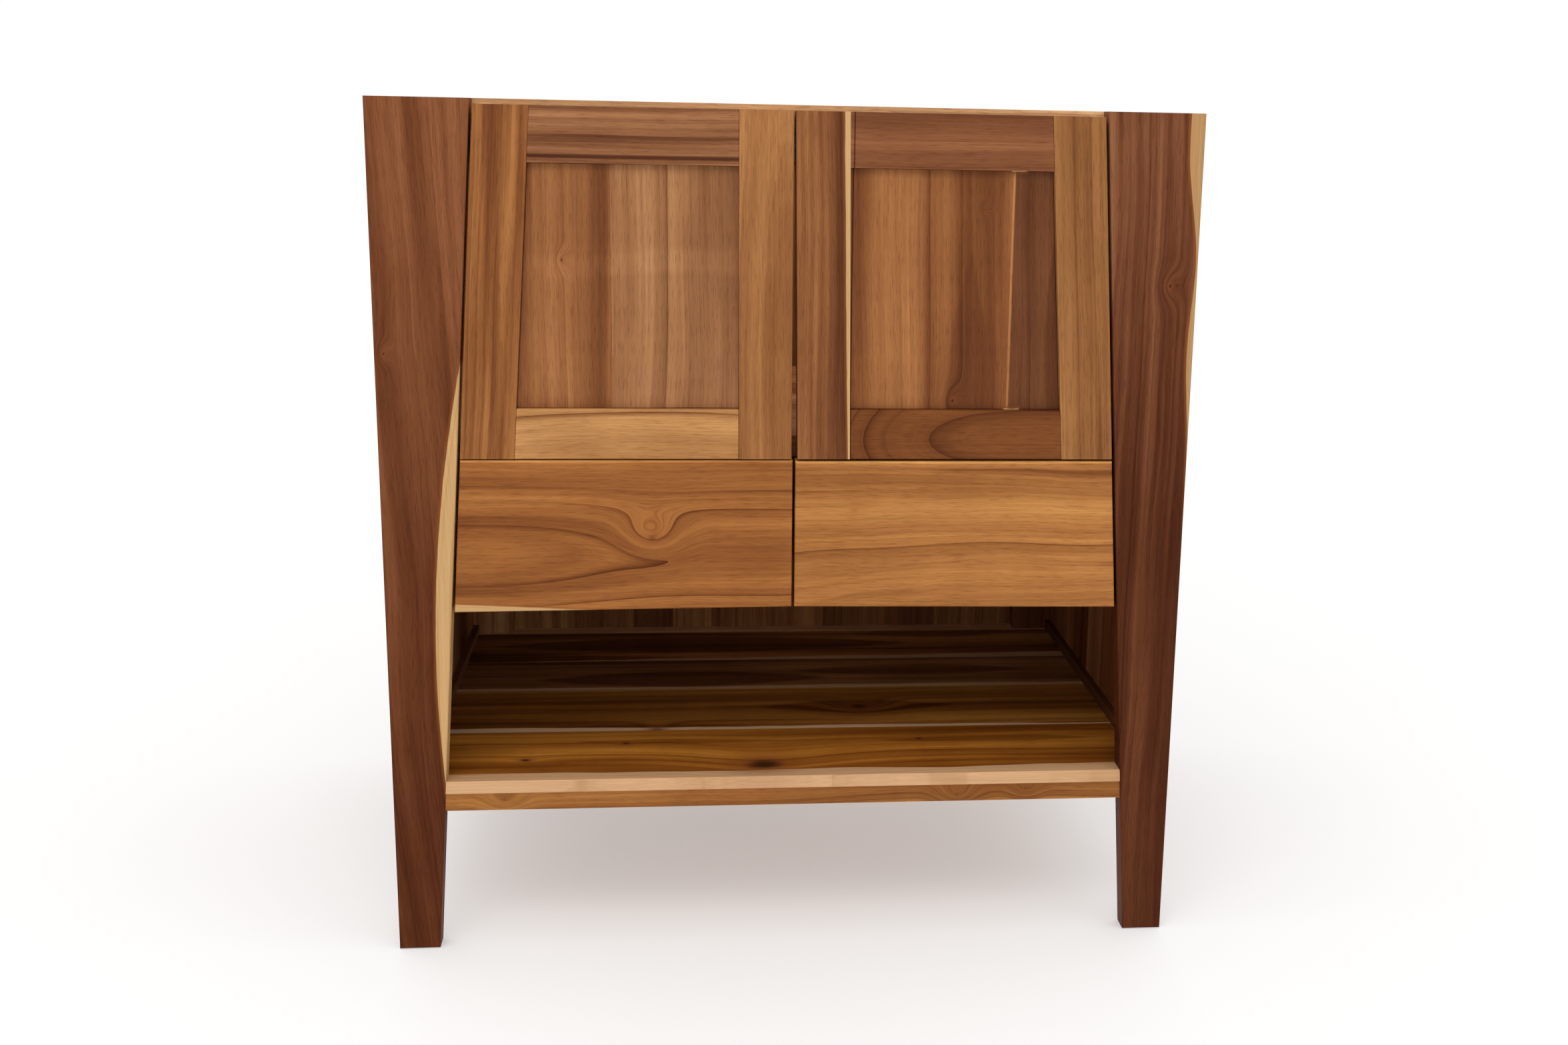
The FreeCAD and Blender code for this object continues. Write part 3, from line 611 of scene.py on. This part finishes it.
def front_boards():
    """Legs, drawer fronts and the shelf's apron."""
    return {
        # Both front legs fade to painted shade lower down, where less light falls
        "left_front_leg": Board(
            (0.126, 0.038, 0.0135), seed=1, slope=-0.045, contrast=1.2, ring=60, wander=2.0, vein=0.8,
            sap=left_leg_sap, knots=[(0.585, -0.372, 0.004)], fade=(0.45, 0.80, 0.88), sheen=0.04),
        "right_front_leg": Board(
            (0.128, 0.041, 0.0165), seed=2, contrast=1.75, ring=90, wander=1.6, sap=right_leg_sap,
            sap_tone=(0.40, 0.225, 0.098), knots=[(0.653, 0.356, 0.006)], fade=(0.45, 0.80, 0.58),
            sheen=0.04, vein=1.7),
        # Both drawer fronts carry a painted highlight band along their upper edge
        "left_drawer_front": Board(
            (0.300, 0.108, 0.026), "x", "z", seed=15, ring=140, contrast=0.92, line=1.9, vein=0.4,
            pith=0.398, arch=1.0, arch_at=-0.310, cap=0.020, sap=left_drawer_sap, knot=0.45, swirl=2.4,
            core=0.42, knots=[(-0.131, 0.412, 0.012)], bands=[painted_arris_highlight("left_drawer_front")]),
        "right_drawer_front": Board(
            (0.338, 0.132, 0.034), "x", "z", seed=16, ring=150, contrast=0.70, line=1.5, pith=0.335,
            arch=0.30, arch_at=0.30, wander=1.8, bands=[painted_arris_highlight("right_drawer_front")]),
        "shelf_apron": Board(
            (0.280, 0.104, 0.024), "x", "z", seed=17, ring=200, contrast=1.0, line=1.5, knot=0.3,
            knots=[(-0.275, 0.152, 0.007), (0.165, 0.150, 0.008), (0.235, 0.155, 0.006)]),
    }


def shelf_boards():
    """The shelf's five boards, from the front."""
    return {
        "shelf_board_1": Board(
            (0.455, 0.170, 0.022), "x", "y", seed=18, ring=85, contrast=1.3, line=1.6, core=0.72,
            swirl=0.7, sap=shelf_front_sap, sap_tone=(0.56, 0.325, 0.170), knot=0.95,
            knots=[(-0.023, -0.245, 0.036), (-0.260, -0.221, 0.008), (-0.163, -0.174, 0.007),
            (0.142, -0.174, 0.006)],
            flames=[(0.215, -0.175, 0.120, 0.010, 0.62), (-0.110, -0.170, 0.110, 0.008, 0.68)]),
        "shelf_board_2": Board(
            (0.335, 0.132, 0.022), "x", "y", seed=19, ring=85, contrast=1.4, line=1.5, core=0.8,
            sap=shelf_seam_sap("shelf_board_2", 9 * MM, -0.010), sap_tone=SHELF_SAPWOOD,
            knots=[(0.089, -0.064, 0.017), (-0.132, -0.133, 0.012)],
            flames=[(0.085, -0.062, 0.110, 0.022, 0.60), (-0.140, -0.128, 0.130, 0.014, 0.60)]),
        "shelf_board_3": Board(
            (0.390, 0.184, 0.068), "x", "y", seed=20, ring=50, contrast=1.7, vein=1.6, line=1.5,
            sap=shelf_seam_sap("shelf_board_3", 11 * MM, 0.006), sap_tone=SHELF_SAPWOOD,
            flames=[(-0.105, 0.045, 0.170, 0.030, 0.45), (0.160, 0.070, 0.140, 0.022, 0.60)]),
        "shelf_board_4": Board(
            (0.380, 0.157, 0.042), "x", "y", seed=21, ring=45, contrast=1.7, vein=1.6, line=1.5,
            sap=shelf_seam_sap("shelf_board_4", 10 * MM, 0.030), sap_tone=SHELF_SAPWOOD,
            flames=[(-0.080, 0.185, 0.260, 0.034, 0.45), (0.210, 0.230, 0.110, 0.022, 0.65)]),
        "shelf_board_5": Board((0.78, 0.48, 0.27), "x", "y", seed=22),
    }


def frame_boards():
    """Rear legs, rails, back, floor and the pieces inside."""
    floor_seams = [FRONT_Y + depth * MM for depth in FLOOR_SEAMS_DEPTH_MM]
    return {
        "left_rear_leg": Board((0.36, 0.155, 0.060), seed=3),
        # Painted shade: the right rear leg gets a far darker tone than the left one, for the shadow it
        # stands in
        "right_rear_leg": Board((0.15, 0.048, 0.015), seed=4),
        "front_top_rail": Board((0.74, 0.42, 0.20), "x", "z", seed=23, ring=120, contrast=0.7),
        "rear_top_rail": Board((0.28, 0.108, 0.038), "x", "z", seed=24),
        "back_bottom_rail": Board((0.25, 0.092, 0.034), "x", "z", seed=25),
        "floor_front_rail": Board((0.25, 0.092, 0.030), "x", "z", seed=26),
        "drawer_divider": Board((0.28, 0.108, 0.038), "y", "z", seed=27),
        "back_planks": Board(
            (0.24, 0.096, 0.030), seed=28, seams=BACK_SEAMS_X, seam_axis="x", variety=0.45),
        "floor_boards": Board(
            (0.32, 0.122, 0.042), "x", "y", seed=29, seams=floor_seams, seam_axis="y", variety=0.30),
        "floor_cleats": Board((0.30, 0.117, 0.042), "y", "x", seed=30),
        "shelf_cleats": Board((0.28, 0.108, 0.038), "y", "x", seed=31),
        "corner_blocks": Board((0.36, 0.153, 0.057), "x", "y", seed=32),
    }


def side_boards():
    """The pieces that the left and right sides both have."""
    front_y, back_y = (corner[1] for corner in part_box("left_side_planks"))
    pitch = (back_y - front_y) / SIDE_PLANKS
    seams = [front_y + pitch * number for number in range(1, SIDE_PLANKS)]
    boards = {}
    for number, side in enumerate(("left", "right")):
        boards[side + "_side_top_rail"] = Board((0.270, 0.099, 0.036), "y", "z", seed=40 + number)
        boards[side + "_side_bottom_rail"] = Board((0.175, 0.070, 0.028), "y", "z", seed=42 + number)
        boards[side + "_side_planks"] = Board(
            (0.260, 0.099, 0.036), "z", "y", seed=44 + number, seams=seams, seam_axis="y", variety=0.52,
            ring=90)
        boards[side + "_slide_rail"] = Board((0.300, 0.117, 0.046), "y", "z", seed=46 + number)
        boards[side + "_drawer_sides"] = Board(
            (0.440, 0.216, 0.091), "y", "z", seed=48 + number, contrast=0.6)
        boards[side + "_drawer_back"] = Board(
            (0.420, 0.207, 0.084), "x", "z", seed=50 + number, contrast=0.6)
    return boards


def ease_edges(node):
    bevel = node.modifiers.new("eased", "BEVEL")
    bevel.width = EDGE_EASE
    bevel.segments = 2
    bevel.limit_method = "ANGLE"
    bevel.angle_limit = math.radians(EDGE_ANGLE_DEG)


def dress():
    """Give every CAD node its material, and every wooden one a small eased edge."""
    boards = {**front_boards(), **door_boards(), **shelf_boards(), **frame_boards(), **side_boards()}
    fittings = {
        "pivot_brackets": steel("zinc_angle", (0.56, 0.56, 0.55), 0.30),
        "bushes": steel("turned_brass", (0.66, 0.46, 0.17), 0.24),
        "slide_": steel("zinc_slide", (0.62, 0.64, 0.66), 0.26),
        "drawer_bottom": plywood("drawer_plywood"),
        "": steel("turned_pin", (0.60, 0.60, 0.60), 0.22),
    }
    for name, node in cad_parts.items():
        if name in boards:
            look = teak(name + "_teak", boards[name])
            ease_edges(node)
        else:
            look = next(fittings[part] for part in fittings if part in name)
        node.data.materials.clear()
        node.data.materials.append(look)


# Studio

def link(name, data):
    """A new object in the scene."""
    made = bpy.data.objects.new(name, data)
    bpy.context.scene.collection.objects.link(made)
    return made


def add_floor():
    mesh = bpy.data.meshes.new("floor")
    half = FLOOR_SIZE / 2
    corners = [(x * half, y * half, -FLOOR_DROP) for x, y in ((-1, -1), (1, -1), (1, 1), (-1, 1))]
    mesh.from_pydata(corners, [], [tuple(range(len(corners)))])
    g = Graph("pale_floor")
    place = g.place()
    mottle = g.noise(place["x"] * FLOOR_MOTTLE, place["y"] * FLOOR_MOTTLE, 0.0)
    # Part of the floor's brightness is glow: painted light that lifts the shadow under the cabinet
    tone = g.mix(mottle, *(rgba(tone, 1.0 - FLOOR_GLOW) for tone in FLOOR_TONES))
    g.set_shader(Base_Color=tone, Roughness=FLOOR_ROUGHNESS, Emission_Color=rgba(WHITE),
                 Emission_Strength=FLOOR_GLOW)
    mesh.materials.append(g.material)
    link("floor", mesh)


def add_surroundings():
    """An even white world, with its own strength where the camera sees it."""
    world = bpy.data.worlds.new("studio")
    world.use_nodes = True
    background = world.node_tree.nodes["Background"]
    background.inputs["Color"].default_value = rgba(WHITE)
    paths = world.node_tree.nodes.new("ShaderNodeLightPath")
    strength = world.node_tree.nodes.new("ShaderNodeMapRange")
    strength.inputs["To Min"].default_value = AMBIENT_LIGHT
    strength.inputs["To Max"].default_value = BACKDROP_LIGHT
    world.node_tree.links.new(paths.outputs["Is Camera Ray"], strength.inputs["Value"])
    world.node_tree.links.new(strength.outputs[0], background.inputs["Strength"])
    bpy.context.scene.world = world
    bpy.context.scene.view_settings.view_transform = "Standard"


def add_lights():
    for name, place, target, size, power, colour in LIGHTS:
        data = bpy.data.lights.new(name, "AREA")
        data.shape = "RECTANGLE"
        data.size, data.size_y = size
        data.energy = power
        data.color = colour
        light = link(name, data)
        light.location = place
        light.rotation_euler = (Vector(target) - Vector(place)).to_track_quat("-Z", "Y").to_euler()


def add_camera():
    data = bpy.data.cameras.new("camera")
    data.lens = CAMERA_LENS_MM
    data.shift_x, data.shift_y = CAMERA_SHIFT
    camera = link("camera", data)
    camera.location = CAMERA_PLACE
    camera.rotation_euler = [math.radians(angle) for angle in CAMERA_TURN_DEG]
    bpy.context.scene.camera = camera


add_floor()
add_surroundings()
add_lights()
add_camera()
dress()
